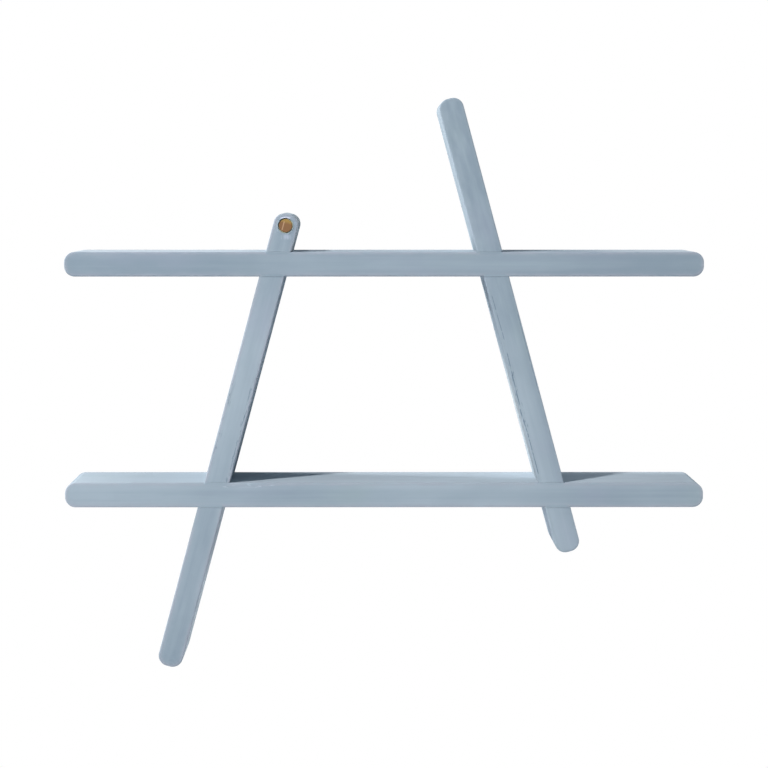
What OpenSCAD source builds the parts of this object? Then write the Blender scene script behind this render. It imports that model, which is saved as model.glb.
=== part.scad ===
// Wall shelf: two level boards and two leaning uprights of one depth, joined where they
// cross by oblique halving joints, with every front edge flush. It hangs on two keyhole
// plates let into the back edge of the upper shelf.
// X runs to the right, Y towards the wall, Z up. The wall is the plane y = 0, and the
// origin lies on it at mid-height of the upper shelf, midway between the keyholes.

/* [Shelves] */
// Length of each shelf
shelf_length = 520; // [480:1:600]
// Thickness of each shelf
shelf_thickness = 20; // [19:0.5:25]
// Height from the lower shelf's centre line to the upper shelf's
shelf_spacing = 188; // [150:1:240]
// Depth of all four boards, from the wall to the flush front edges
board_depth = 120; // [90:1:160]

/* [Uprights] */
// Thickness of each upright
upright_thickness = 20; // [19:0.5:25]
// Lean of the uprights from the vertical, in degrees, towards each other at the top
upright_lean = 15; // [8:0.5:20]
// Distance between the uprights' axes on the upper shelf's centre line
crossing_spread = 177; // [150:1:210]
// Left upright's length above the upper shelf's centre line
left_top_reach = 42; // [34:1:70]
// Left upright's length below the lower shelf's centre line
left_bottom_reach = 145; // [60:1:170]
// Right upright's length above the upper shelf's centre line
right_top_reach = 139; // [60:1:160]
// Right upright's length below the lower shelf's centre line
right_bottom_reach = 48; // [30:1:90]

/* [Edges] */
// Corner radius at the ends of the boards, seen from the front
end_radius = 8.5; // [4:0.5:9]
// Radius of the eased edges along the front and the back
edge_radius = 1.25; // [0.5:0.25:1.75]

/* [Halving joints] */
// Depth of the slots in the shelves, from the back; the uprights' slots take the rest
shelf_slot_depth = 60; // [35:1:75]
// Gap beside each slotted board, on each of its faces
joint_clearance = 0.1; // [0.05:0.05:0.3]

/* [Brass stud] */
// Diameter of the stud's head
stud_head_d = 10.8; // [8:0.1:12]
// Thickness of the head at its rim
stud_rim = 0.9; // [0.6:0.1:1.5]
// Rise of the domed face above the rim
stud_dome = 0.5; // [0.2:0.1:1]
// Diameter of the shank
stud_shank_d = 4; // [3:0.5:6]
// Length of the shank behind the head
stud_shank_length = 16; // [8:1:25]
// Distance from the upright's top end to the stud's centre
stud_inset = 9.5; // [9:0.5:14]
// Depth of the round sinking that the head sits in
stud_sink_depth = 1; // [0.5:0.1:1.5]
// Open ring around the head in its sinking
stud_ring = 0.8; // [0.3:0.1:1]

/* [Keyhole plates] */
// Distance from each end of the upper shelf to its keyhole
keyhole_inset = 80; // [50:1:95]
// Length of each plate
plate_length = 40; // [36:1:48]
// Height of each plate
plate_height = 16; // [15:0.25:16]
// Thickness of each plate
plate_thickness = 1.5; // [1.5:0.25:2.5]
// Diameter of the round hole that a wall screw's head enters
keyhole_d = 8; // [7.5:0.25:8.5]
// Width of the slot that the wall screw's neck slides up
keyslot_w = 4; // [3:0.25:4.25]
// Distance that the neck slides, from the round hole's centre to the slot's end
keyslot_rise = 4.5; // [4.25:0.25:5]
// Depth of the pocket behind the plate
pocket_depth = 9; // [6:0.5:15]
// Room around the wall screw's head in the pocket
pocket_clearance = 0.4; // [0.2:0.1:0.6]

/* [Plate screws] */
// Distance between the two screws of one plate
screw_spacing = 27; // [24:0.5:28]
// Diameter of the countersunk head
screw_head_d = 5.6; // [5:0.2:5.8]
// Diameter of the shank
screw_shank_d = 3; // [2.8:0.1:3.4]
// Length from the flat of the head to the point
screw_length = 14; // [10:1:20]
// Length of the point
screw_point = 3; // [1:0.5:4]

/* [Fits] */
// Gap around each metal piece in the hole or recess that holds it
fit_clearance = 0.05; // [0.02:0.01:0.1]

/* [Hidden] */
$fn = 96;

// Sides of the object
LEFT = -1;
RIGHT = 1;
// Heights of the two shelves' centre lines
upper_level = 0;
lower_level = -shelf_spacing;
levels = [upper_level, lower_level];
// Length of an upright between the two shelves' centre lines
upright_span = shelf_spacing / cos(upright_lean);
// How far a cutter runs past the face that it opens
overrun = 1;
// Depth over which the eased edges stay square at a crossing
land_depth = 2 * edge_radius;
// The lap plane, where the slots of a shelf and an upright bear on each other
lap_y = -shelf_slot_depth;
// Round sinking for the stud's head
stud_sink_d = stud_head_d + 2 * stud_ring;
// Distance from the middle of the object to each keyhole
keyhole_x = shelf_length / 2 - keyhole_inset;
// Height of the keyhole's round hole, which lies as far below the middle as its slot's end above
keyhole_z = -keyslot_rise / 2;
// Pocket behind the plate
pocket_w = keyhole_d + 2 * pocket_clearance;
// Countersink of the plate screws, a right-angled cone
screw_cone = (screw_head_d - screw_shank_d) / 2;

paint = [0.63, 0.69, 0.73];
brass = [0.71, 0.56, 0.33];
zinc = [0.72, 0.74, 0.76];

// Distance from the middle of the object to an upright's axis at a height
function crossing_x(level) = crossing_spread / 2 - level * tan(upright_lean);

// What lies between a square corner and the eased edge inside it, with the corner at 0, 0
module edge_waste() {
    difference() {
        translate([-overrun, -overrun])
            square(overrun + edge_radius);
        translate([edge_radius, edge_radius])
            circle(edge_radius);
    }
}

// Rectangle about the origin with all four corners eased
module eased_rectangle(width, height) {
    difference() {
        square([width, height], center = true);
        for (x_turn = [0, 1], y_turn = [0, 1])
            mirror([x_turn, 0])
                mirror([0, y_turn])
                    translate([-width / 2, -height / 2])
                        edge_waste();
    }
}

// Right-hand half of the section through a board's rounded end
module end_section() {
    intersection() {
        eased_rectangle(2 * end_radius, board_depth);
        translate([0, -board_depth])
            square([end_radius + overrun, 2 * board_depth]);
    }
}

// A board lying along X, its back edge at y = 0, with round ends and eased edges
module board(length, thickness) {
    straight = length - 2 * end_radius;
    end_flat = thickness - 2 * end_radius;
    translate([0, -board_depth / 2, 0]) {
        translate([-straight / 2, 0, 0])
            rotate([90, 0, 90])
                linear_extrude(straight)
                    eased_rectangle(board_depth, thickness);
        for (x_turn = [0, 1])
            mirror([x_turn, 0, 0]) {
                translate([straight / 2, 0, -end_flat / 2])
                    linear_extrude(end_flat)
                        end_section();
                for (z_turn = [0, 1])
                    mirror([0, 0, z_turn])
                        translate([straight / 2, 0, end_flat / 2])
                            rotate([90, 0, 0])
                                rotate_extrude(angle = 90)
                                    end_section();
            }
    }
}

// Prism where an upright and a shelf cross, a parallelogram seen from the front:
// width is square to the upright and height square to the shelf
module crossing(side, level, width, height, front_y, back_y) {
    half_w = width / 2 / cos(upright_lean);
    half_h = height / 2;
    lean_x = -side * half_h * tan(upright_lean);
    translate([side * crossing_x(level), back_y, level])
        rotate([90, 0, 0])
            linear_extrude(back_y - front_y)
                polygon([
                    [-half_w - lean_x, -half_h],
                    [half_w - lean_x, -half_h],
                    [half_w + lean_x, half_h],
                    [-half_w + lean_x, half_h]
                ]);
}

// A shelf with square lands at the front where the uprights cross it, slotted from the back
module slotted_shelf(level) {
    difference() {
        union() {
            translate([0, 0, level])
                board(shelf_length, shelf_thickness);
            for (side = [LEFT, RIGHT])
                crossing(side, level, upright_thickness, shelf_thickness,
                    -board_depth, -board_depth + land_depth);
        }
        for (side = [LEFT, RIGHT])
            crossing(side, level, upright_thickness + 2 * joint_clearance,
                shelf_thickness + 2 * overrun, lap_y, overrun);
    }
}

// An upright with square lands at the back where the shelves cross it, slotted from the front
module slotted_upright(side, top_reach, bottom_reach) {
    length = bottom_reach + upright_span + top_reach;
    difference() {
        union() {
            translate([side * crossing_x(upper_level), 0, upper_level])
                rotate([0, -side * upright_lean - 90, 0])
                    translate([top_reach - length / 2, 0, 0])
                        board(length, upright_thickness);
            for (level = levels)
                crossing(side, level, upright_thickness, shelf_thickness, -land_depth, 0);
        }
        for (level = levels)
            crossing(side, level, upright_thickness + 2 * overrun,
                shelf_thickness + 2 * joint_clearance, -board_depth - overrun, lap_y);
    }
}

// Puts its child on the left upright's front edge at the stud, with +Z out of the edge
module at_stud() {
    translate([LEFT * crossing_x(upper_level), 0, upper_level])
        rotate([0, upright_lean, 0])
            translate([0, -board_depth, left_top_reach - stud_inset])
                rotate([90, 0, 0])
                    children();
}

// Puts its child on the wall plane at the middle of a keyhole plate, with +Z towards the wall
module at_plate(side) {
    translate([side * keyhole_x, 0, upper_level])
        rotate([-90, 0, 0])
            children();
}

// Puts its child at each screw of a plate, in the plate's own place
module at_plate_screws() {
    for (end = [LEFT, RIGHT])
        translate([end * screw_spacing / 2, 0, 0])
            children();
}

// Straight bar with full-round ends along X, from z = -depth to z = top
module round_ended_bar(length, height, depth, top) {
    straight = length - height;
    translate([-straight / 2, -height / 2, -depth])
        cube([straight, height, depth + top]);
    for (end = [LEFT, RIGHT])
        translate([end * straight / 2, 0, -depth])
            cylinder(d = height, h = depth + top);
}

// Slot of a width from the keyhole's round hole up to its slot's end, with round ends
module keyhole_track(width, depth, top) {
    rotate([0, 0, 90])
        round_ended_bar(keyslot_rise + width, width, depth, top);
}

// Countersunk hole through a plate for one of its screws
module screw_hole() {
    face_r = screw_head_d / 2 + fit_clearance;
    translate([0, 0, -screw_cone])
        cylinder(r1 = face_r - screw_cone, r2 = face_r, h = screw_cone);
    cylinder(r = face_r, h = overrun);
    translate([0, 0, -plate_thickness - overrun])
        cylinder(r = face_r - screw_cone, h = plate_thickness + overrun);
}

// Recess, pocket and screw holes for one plate, in the plate's own place
module plate_seat() {
    round_ended_bar(plate_length + 2 * fit_clearance, plate_height + 2 * fit_clearance,
        plate_thickness, overrun);
    keyhole_track(pocket_w, plate_thickness + pocket_depth, overrun);
    at_plate_screws()
        translate([0, 0, -screw_length - fit_clearance])
            cylinder(d = screw_shank_d + 2 * fit_clearance, h = screw_length + overrun);
}

module keyhole_plate(side) {
    at_plate(side)
        difference() {
            round_ended_bar(plate_length, plate_height, plate_thickness, 0);
            translate([0, -keyhole_z, -plate_thickness - overrun])
                cylinder(d = keyhole_d, h = plate_thickness + 2 * overrun);
            keyhole_track(keyslot_w, plate_thickness + overrun, overrun);
            at_plate_screws()
                screw_hole();
        }
}

module upper_shelf() {
    color(paint)
        difference() {
            slotted_shelf(upper_level);
            for (side = [LEFT, RIGHT])
                at_plate(side)
                    plate_seat();
        }
}

module lower_shelf() {
    color(paint)
        slotted_shelf(lower_level);
}

module left_upright() {
    color(paint)
        difference() {
            slotted_upright(LEFT, left_top_reach, left_bottom_reach);
            at_stud() {
                translate([0, 0, -stud_sink_depth])
                    cylinder(d = stud_sink_d, h = stud_sink_depth + overrun);
                translate([0, 0, -stud_sink_depth - stud_shank_length - fit_clearance])
                    cylinder(d = stud_shank_d + 2 * fit_clearance,
                        h = stud_shank_length + stud_sink_depth);
            }
        }
}

module right_upright() {
    color(paint)
        slotted_upright(RIGHT, right_top_reach, right_bottom_reach);
}

module brass_stud() {
    dome_r = (pow(stud_head_d / 2, 2) + pow(stud_dome, 2)) / (2 * stud_dome);
    color(brass)
        at_stud()
            translate([0, 0, -stud_sink_depth]) {
                rotate_extrude()
                    intersection() {
                        square([stud_head_d / 2, stud_rim + stud_dome]);
                        translate([0, stud_rim + stud_dome - dome_r])
                            circle(dome_r);
                    }
                translate([0, 0, -stud_shank_length])
                    cylinder(d = stud_shank_d, h = stud_shank_length);
            }
}

module left_keyhole_plate() {
    color(zinc)
        keyhole_plate(LEFT);
}

module right_keyhole_plate() {
    color(zinc)
        keyhole_plate(RIGHT);
}

module plate_screws() {
    color(zinc)
        for (side = [LEFT, RIGHT])
            at_plate(side)
                at_plate_screws()
                    rotate_extrude()
                        polygon([
                            [0, -screw_length],
                            [screw_shank_d / 2, screw_point - screw_length],
                            [screw_shank_d / 2, -screw_cone],
                            [screw_head_d / 2, 0],
                            [0, 0]
                        ]);
}

upper_shelf();
lower_shelf();
left_upright();
right_upright();
brass_stud();
left_keyhole_plate();
right_keyhole_plate();
plate_screws();
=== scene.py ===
"""Looks of a painted wall shelf: four halved boards, a brass stud and two keyhole plates.

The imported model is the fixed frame. Lengths are in metres in its axes: X to the right, Y towards the
wall and Z up, with the origin on the wall plane at mid-height of the upper shelf.
"""

import logging
import math
from collections.abc import Callable, Mapping, Sequence
from dataclasses import dataclass, field
from enum import Enum

import bmesh
import bpy
from mathutils import Matrix, Vector


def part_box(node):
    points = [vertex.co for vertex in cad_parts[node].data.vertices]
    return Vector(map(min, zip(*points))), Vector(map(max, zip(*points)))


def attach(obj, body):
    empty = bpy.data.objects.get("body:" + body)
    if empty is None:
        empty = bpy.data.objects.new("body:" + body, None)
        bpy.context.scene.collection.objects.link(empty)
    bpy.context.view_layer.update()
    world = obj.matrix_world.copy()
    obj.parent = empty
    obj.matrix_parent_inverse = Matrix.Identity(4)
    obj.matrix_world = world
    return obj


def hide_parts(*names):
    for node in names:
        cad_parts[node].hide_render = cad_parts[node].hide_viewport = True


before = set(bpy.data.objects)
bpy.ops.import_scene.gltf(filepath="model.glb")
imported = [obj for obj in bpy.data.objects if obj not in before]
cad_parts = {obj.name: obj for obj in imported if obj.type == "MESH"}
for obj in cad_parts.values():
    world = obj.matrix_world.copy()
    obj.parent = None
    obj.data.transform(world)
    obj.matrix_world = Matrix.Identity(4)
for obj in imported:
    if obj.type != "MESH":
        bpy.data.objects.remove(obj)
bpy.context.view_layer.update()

MM = 0.001
# Too small to see: it joins points that meet and keeps surfaces from falling together.
HAIR = 0.001 * MM
QUARTER_TURN = math.pi / 2
BODY = "root"
SOLVER = "MANIFOLD"
Colour = tuple[float, float, float, float]
Point = tuple[float, float, float]
Pair = tuple[float, float]
log = logging.getLogger("wall_shelf")


class Side(Enum):
    """Which half of the object a piece belongs to, seen from the front."""

    LEFT = -1
    RIGHT = 1


class Rim(Enum):
    """Which long edge of a board stays whole at a crossing, by its direction along Y."""

    FRONT = -1
    BACK = 1


class Slot(Enum):
    """The record's material slots."""

    PAINT = "painted_wood"
    BRASS = "brass"
    STEEL = "plated_steel"


def srgb(red: int, green: int, blue: int) -> Colour:
    """Turns a colour in 8-bit display values into a linear one.

    Args:
        red: Red, 0 to 255.
        green: Green, 0 to 255.
        blue: Blue, 0 to 255.

    Returns:
        Linear red, green, blue and an alpha of 1.
    """
    shares = [channel / 255 for channel in (red, green, blue)]
    linear = [s / 12.92 if s < 0.0405 else ((s + 0.055) / 1.055) ** 2.4 for s in shares]
    return (linear[0], linear[1], linear[2], 1.0)


def maths(operation: str, reflected: bool = False) -> Callable[["Wire", "Value"], "Wire"]:
    """Makes an operator of Wire.

    Args:
        operation: The Math node's operation.
        reflected: Whether the wire is the second operand, as in 1 - wire.

    Returns:
        The method.
    """

    def method(wire: "Wire", other: "Value") -> "Wire":
        """Adds one Math node on the wire and the other operand."""
        return wire.graph.math(operation, *((other, wire) if reflected else (wire, other)))

    return method


class Wire:
    """An output socket, on which node maths is written as a Python expression."""

    def __init__(self, graph: "Graph", socket: bpy.types.NodeSocket | None) -> None:
        """Keeps the socket and the graph that new nodes go into."""
        self.graph = graph
        self.socket = socket

    def out(self, name: str) -> "Wire":
        """Another output of the same node, by its name."""
        return Wire(self.graph, self.socket.node.outputs[name])

    __add__ = maths("ADD")
    __radd__ = maths("ADD", reflected=True)
    __sub__ = maths("SUBTRACT")
    __rsub__ = maths("SUBTRACT", reflected=True)
    __mul__ = maths("MULTIPLY")
    __rmul__ = maths("MULTIPLY", reflected=True)
    __truediv__ = maths("DIVIDE")
    __rtruediv__ = maths("DIVIDE", reflected=True)
    __pow__ = maths("POWER")
    __mod__ = maths("FLOORED_MODULO")


Value = Wire | float | int | str | bool | tuple | list | bpy.types.ID


class Graph:
    """A node tree that is being built, for a material, the world or a shape."""

    def __init__(self, tree: bpy.types.NodeTree) -> None:
        """Keeps the tree that nodes are added to."""
        self.tree = tree

    def add(
        self,
        kind: str,
        inputs: Mapping[str | int, Value] | None = None,
        output: str | int = 0,
        levels: Sequence[float] = (),
        **settings: object,
    ) -> Wire:
        """Adds one node.

        Args:
            kind: The node's type.
            inputs: Values, links or lists of links for its sockets, by name or number.
            output: The output wanted, by name or number.
            levels: A curve's evenly spaced values, from the one at 0 to the one at 1.
            settings: The node's own settings, which are set first.

        Returns:
            The node's output as a wire, which is empty on a tree's last node.
        """
        node = self.tree.nodes.new(kind)
        for name, value in settings.items():
            setattr(node, name, value)
        if levels:
            points = node.mapping.curves[0].points
            for number in range(1, len(levels) - 1):
                points.new(number / (len(levels) - 1), levels[number])
            for point, level in zip(points, levels):
                point.location[1] = level
            node.mapping.update()
        for key, value in (inputs or {}).items():
            wires = value if isinstance(value, list) else [value]
            if isinstance(wires[0], Wire):
                for wire in wires:
                    self.tree.links.new(wire.socket, node.inputs[key])
            else:
                node.inputs[key].default_value = value
        return Wire(self, node.outputs[output] if node.outputs else None)

    def math(self, operation: str, *values: Value) -> Wire:
        """One Math node on one to three values."""
        return self.add("ShaderNodeMath", dict(enumerate(values)), operation=operation)

    def limit(self, value: Value) -> Wire:
        """Value kept between 0 and 1."""
        return self.add("ShaderNodeClamp", {"Value": value})

    def step(self, value: Value, low: float, high: float) -> Wire:
        """A smooth rise from 0 to 1 as value goes from low to high.

        Args:
            value: What changes.
            low: Where the rise starts.
            high: Where it ends; below low, the rise becomes a fall.

        Returns:
            The smoothed share.
        """
        if low < high:
            inputs = {"Value": value, "From Min": low, "From Max": high}
            return self.add("ShaderNodeMapRange", inputs, interpolation_type="SMOOTHSTEP")
        return 1 - self.step(value, high, low)

    def band(self, value: Value, rise: Pair, fall: Pair) -> Wire:
        """The product of a step up and a step down, each from its first to its second place."""
        return self.step(value, *rise) * self.step(value, *fall)

    def near(self, apart: Value, far: float, close: float) -> Wire:
        """1 where a distance of either sign is within close, fading to 0 at far."""
        return self.step(self.math("ABSOLUTE", apart), far, close)

    def join(self, x: Value, y: Value, z: Value) -> Wire:
        """A vector from its three parts."""
        return self.add("ShaderNodeCombineXYZ", {"X": x, "Y": y, "Z": z})

    def parts(self, vector: Wire) -> tuple[Wire, Wire, Wire]:
        """A vector's three parts."""
        x = self.add("ShaderNodeSeparateXYZ", {"Vector": vector})
        return x, x.out("Y"), x.out("Z")

    def noise(
        self, place: Wire, scale: Point | float, detail: float, roughness: float, seed: Value
    ) -> Wire:
        """Four-dimensional noise.

        Args:
            place: Where it is read.
            scale: Lumps in a metre, along each axis or along all.
            detail: Finer layers added to it.
            roughness: Strength of the finer layers.
            seed: Which of many patterns is taken.

        Returns:
            Values about 0.5.
        """
        by = scale if isinstance(scale, tuple) else (scale,) * 3
        scaled = self.add("ShaderNodeVectorMath", {0: place, 1: by}, operation="MULTIPLY")
        inputs = {"Vector": scaled, "W": seed, "Scale": 1.0, "Detail": detail, "Roughness": roughness}
        return self.add("ShaderNodeTexNoise", inputs, noise_dimensions="4D")

    def blend(self, share: Value, first: Value, second: Value) -> Wire:
        """A colour between first and second, by share."""
        return self.add("ShaderNodeMix", {0: share, 6: first, 7: second}, 2, data_type="RGBA")

    def background(self) -> Wire:
        """1 on rays that show the background, to the camera or in a reflection, and 0 on light."""
        seen = self.add("ShaderNodeLightPath", output="Is Camera Ray")
        return self.limit(seen + seen.out("Is Glossy Ray") + seen.out("Is Transmission Ray"))


class SurfaceGraph(Graph):
    """The node tree of a new material."""

    def __init__(self, name: str) -> None:
        """Makes the material with a tree that holds only the place in the frame.

        Args:
            name: The material's name.
        """
        self.material = bpy.data.materials.new(name)
        self.material.use_nodes = True
        super().__init__(self.material.node_tree)
        self.tree.nodes.clear()
        self.place = self.add("ShaderNodeTexCoord", output="Object")

    def placed(self, origin: Point, turn: float) -> Wire:
        """The place seen from another origin, in axes turned about Y."""
        inputs = {"Vector": self.place, "Location": origin, "Rotation": (0, turn, 0)}
        return self.add("ShaderNodeMapping", inputs, vector_type="TEXTURE")

    def finish(
        self, colour: Wire, roughness: Wire, relief: tuple[float, float, Wire], **constants: float
    ) -> bpy.types.Material:
        """Closes the tree with one Principled shader.

        Args:
            colour: Its base colour.
            roughness: Its roughness.
            relief: Strength, depth and height pattern of its bumps.
            constants: Values for other sockets, by their names with underscores.

        Returns:
            The material.
        """
        bump = self.add("ShaderNodeBump", dict(zip(("Strength", "Distance", "Height"), relief)))
        inputs = {"Base Color": colour, "Roughness": roughness, "Normal": bump}
        inputs |= {name.replace("_", " "): value for name, value in constants.items()}
        return self.close(self.add("ShaderNodeBsdfPrincipled", inputs))

    def close(self, shader: Wire) -> bpy.types.Material:
        """Makes shader the material's surface and returns the material."""
        self.add("ShaderNodeOutputMaterial", {"Surface": shader})
        return self.material


class ShapeTree(Graph):
    """A Geometry Nodes tree with named inputs."""

    CREASE = math.radians(33)

    def __init__(self, name: str, numbers: Sequence[str], **others: str) -> None:
        """Makes the tree with its inputs.

        Args:
            name: The tree's name.
            numbers: Names of the inputs that are plain numbers.
            others: Socket types of the other inputs, by name.
        """
        super().__init__(bpy.data.node_groups.new(name, "GeometryNodeTree"))
        for size, kind in (dict.fromkeys(numbers, "Float") | others).items():
            self.tree.interface.new_socket(size, in_out="INPUT", socket_type=f"NodeSocket{kind}")
        self.tree.interface.new_socket("Solid", in_out="OUTPUT", socket_type="NodeSocketGeometry")
        self._given = self.add("NodeGroupInput")

    def given(self, name: str) -> Wire:
        """The value of a named input."""
        return self._given.out(name)

    def end(self, solid: Wire) -> None:
        """Makes solid the tree's result."""
        self.add("NodeGroupOutput", {"Solid": solid})

    def dress(self, solid: Wire) -> None:
        """Makes a solid's instances real, gives it its finish and ends the tree with it."""
        real = self.add("GeometryNodeRealizeInstances", {"Geometry": solid})
        self.end(self.add("GeometryNodeSetMaterial", {"Geometry": real, "Material": self.given("Finish")}))

    def shade(self, solid: Wire) -> Wire:
        """Shades a solid smooth, except along its creases.

        Args:
            solid: The solid.

        Returns:
            The shaded solid.
        """
        angle = self.add("GeometryNodeInputMeshEdgeAngle")
        sharp = self.add("FunctionNodeCompare", {"A": angle, "B": self.CREASE}, operation="GREATER_THAN")
        smooth = self.add("GeometryNodeSetShadeSmooth", {"Geometry": solid}, domain="FACE")
        inputs = {"Geometry": smooth, "Selection": sharp, "Shade Smooth": False}
        return self.add("GeometryNodeSetShadeSmooth", inputs, domain="EDGE")

    def moved(self, solid: Wire, place: Value = (0, 0, 0), turn: Value = 0.0) -> Wire:
        """A solid turned about Y and then moved."""
        inputs = {"Geometry": solid, "Translation": place, "Rotation": self.join(0, turn, 0)}
        return self.add("GeometryNodeTransform", inputs)

    def cube(self, x: Value, y: Value, z: Value) -> Wire:
        """A box about the origin."""
        return self.add("GeometryNodeMeshCube", {"Size": self.join(x, y, z)})

    def solid(self, operation: str, *solids: Wire) -> Wire:
        """The union or intersection of several solids."""
        inputs = {"Mesh 2": list(solids)}
        return self.add("GeometryNodeMeshBoolean", inputs, operation=operation, solver=SOLVER)

    def cut(self, solid: Wire, *cutters: Wire) -> Wire:
        """A solid without what the cutters take."""
        inputs = {"Mesh 1": solid, "Mesh 2": list(cutters)}
        return self.add("GeometryNodeMeshBoolean", inputs, operation="DIFFERENCE", solver=SOLVER)


class EasedBar(ShapeTree):
    """A bar along X with round ends and eased edges, worked out from one grid of points.

    Columns of the grid run round the bar's outline, and rows from the middle of the front face over
    the front edge, the walls and the back edge to the middle of the back face.
    """

    END_STEPS = 12
    FACE_STEPS = 5
    EASING_STEPS = 6
    WALL_STEPS = 8
    LUMP = 45 * MM
    ARRIS_FADE = 1.0 * MM
    CRISP = 0.01 * MM
    PLAIN_STEPS = 8

    def __init__(self) -> None:
        """Builds the tree."""
        numbers = ("Length", "Thickness", "Depth", "End Radius", "Edge Radius", "Crown")
        super().__init__("Eased bar", numbers + ("Unevenness", "Seed"), Steps="Int")
        rows = self.FACE_STEPS + self.EASING_STEPS + self.WALL_STEPS
        columns = 2 * (self.given("Steps") + 2 * self.END_STEPS + 2)
        inputs = {"Size X": columns, "Size Y": 2 * rows}
        inputs |= {"Vertices X": columns + 1, "Vertices Y": 2 * rows + 1}
        grid = self.add("GeometryNodeMeshGrid", inputs)
        across, along, _ = self.parts(self.add("GeometryNodeInputPosition"))
        inset, setback, y = self._section(self.math("ROUND", along + rows), rows)
        x, z = self._outline(self.math("ROUND", across + columns / 2), columns, inset)
        inputs = {"Geometry": grid, "Name": "arris", "Value": self._arris(inset, setback)}
        named = self.add("GeometryNodeStoreNamedAttribute", inputs, data_type="FLOAT", domain="POINT")
        inputs = {"Geometry": named, "Position": self.join(x, y, z)}
        shaped = self.add("GeometryNodeSetPosition", inputs)
        welded = self.add("GeometryNodeMergeByDistance", {"Geometry": shaped, "Distance": HAIR})
        self.end(self._uneven(self.add("GeometryNodeFlipFaces", {"Mesh": welded})))

    def _share(self, number: Wire, first: Value, steps: Value) -> Wire:
        """How far a row or column lies along some steps after the first one, from 0 to 1."""
        return self.limit((number - first) / steps)

    def _section(self, row: Wire, rows: int) -> tuple[Wire, Wire, Wire]:
        """Works out the section through the bar's edges.

        Args:
            row: Number of the row, from 0 at the middle of the front face.
            rows: Rows from there to mid-depth.

        Returns:
            Inset from the outline, distance behind the nearer face, and Y.
        """
        half_depth = self.given("Depth") / 2
        edge = self.given("Edge Radius")
        number = self.math("MINIMUM", row, 2 * rows - row)
        inward = (1 - self._share(number, 0, self.FACE_STEPS)) ** 2
        turned = self._share(number, self.FACE_STEPS, self.EASING_STEPS) * QUARTER_TURN
        down = self._share(number, self.FACE_STEPS + self.EASING_STEPS, self.WALL_STEPS) ** 2
        half = self.given("Thickness") / 2
        inset = edge + (half - edge) * inward - edge * self.math("SINE", turned)
        eased = self.given("Crown") * (1 - inward) ** 2 + edge * (1 - self.math("COSINE", turned))
        setback = eased + (half_depth - eased) * down
        to_front = self.math("SIGN", rows - row)
        return inset, setback, 0 - half_depth - to_front * (half_depth - setback)

    def _outline(self, column: Wire, columns: Wire, inset: Wire) -> tuple[Wire, Wire]:
        """Works out the outline with round corners, drawn in by an inset.

        Args:
            column: Number of the column, from 0 at the middle of the right end.
            columns: Columns all round.
            inset: How far the outline is drawn in.

        Returns:
            X and Z.
        """
        steps = self.given("Steps")
        ends = self.END_STEPS
        corner = self.math("MAXIMUM", self.given("End Radius") - inset, 0)
        straight_x = self.given("Length") / 2 - inset - corner
        straight_z = self.given("Thickness") / 2 - inset - corner
        number = self.math("MINIMUM", column, columns - column)
        first_rise = self._share(number, 0, 1)
        first_turn = self._share(number, 1, ends) * QUARTER_TURN
        run = self._share(number, 1 + ends, steps)
        last_turn = self._share(number, 1 + ends + steps, ends) * QUARTER_TURN
        last_fall = self._share(number, 1 + 2 * ends + steps, 1)
        x_round = self.math("COSINE", first_turn) - self.math("SINE", last_turn)
        z_round = self.math("SINE", first_turn) + self.math("COSINE", last_turn) - 1
        z = straight_z * (first_rise - last_fall) + corner * z_round
        x = straight_x * (1 - 2 * run) + corner * x_round
        return x, z * self.math("SIGN", columns / 2 - column)

    def _arris(self, inset: Wire, setback: Wire) -> Wire:
        """Works out how near a point lies to an eased edge.

        Args:
            inset: Its distance inside the outline.
            setback: Its distance behind the nearer face.

        Returns:
            1 on the edge, falling to 0 on the faces.
        """
        edge = self.given("Edge Radius") + self.given("Crown")
        beyond = self.math("MAXIMUM", inset - edge, 0) + self.math("MAXIMUM", setback - edge, 0)
        return self.math("EXPONENT", beyond / (0 - self.ARRIS_FADE))

    def _uneven(self, solid: Wire) -> Wire:
        """Gives a solid the slight waves of sanded wood.

        Args:
            solid: The solid.

        Returns:
            The uneven solid.
        """
        place = self.add("GeometryNodeInputPosition")
        wave = self.noise(place, 1 / self.LUMP, 1.0, 0.5, self.given("Seed")) - 0.5
        inputs = {0: self.add("GeometryNodeInputNormal"), "Scale": wave * 2 * self.given("Unevenness")}
        offset = self.add("ShaderNodeVectorMath", inputs, operation="SCALE")
        return self.add("GeometryNodeSetPosition", {"Geometry": solid, "Offset": offset})

    @staticmethod
    def plain(length: Value, height: Value, depth: Value) -> dict[str, Value]:
        """Works out the sizes of a plain bar with full-round ends and crisp edges.

        Args:
            length: Its length.
            height: Its height.
            depth: Its depth.

        Returns:
            Values for the tree's inputs.
        """
        sizes = {"Length": length, "Thickness": height, "Depth": depth, "End Radius": height / 2 - HAIR}
        sizes |= {"Edge Radius": EasedBar.CRISP, "Crown": 0.0, "Unevenness": 0.0, "Seed": 0.0}
        return sizes | {"Steps": EasedBar.PLAIN_STEPS}


@dataclass(frozen=True)
class Stock:
    """The painted board that all four boards are cut from."""

    thickness: float = 20 * MM
    depth: float = 120 * MM
    end_radius: float = 8.5 * MM
    edge_radius: float = 1.25 * MM
    crown: float = 0.2 * MM
    unevenness: float = 0.03 * MM
    lap_depth: float = 60 * MM
    joint_clearance: float = 0.1 * MM
    step: float = 4 * MM


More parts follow.
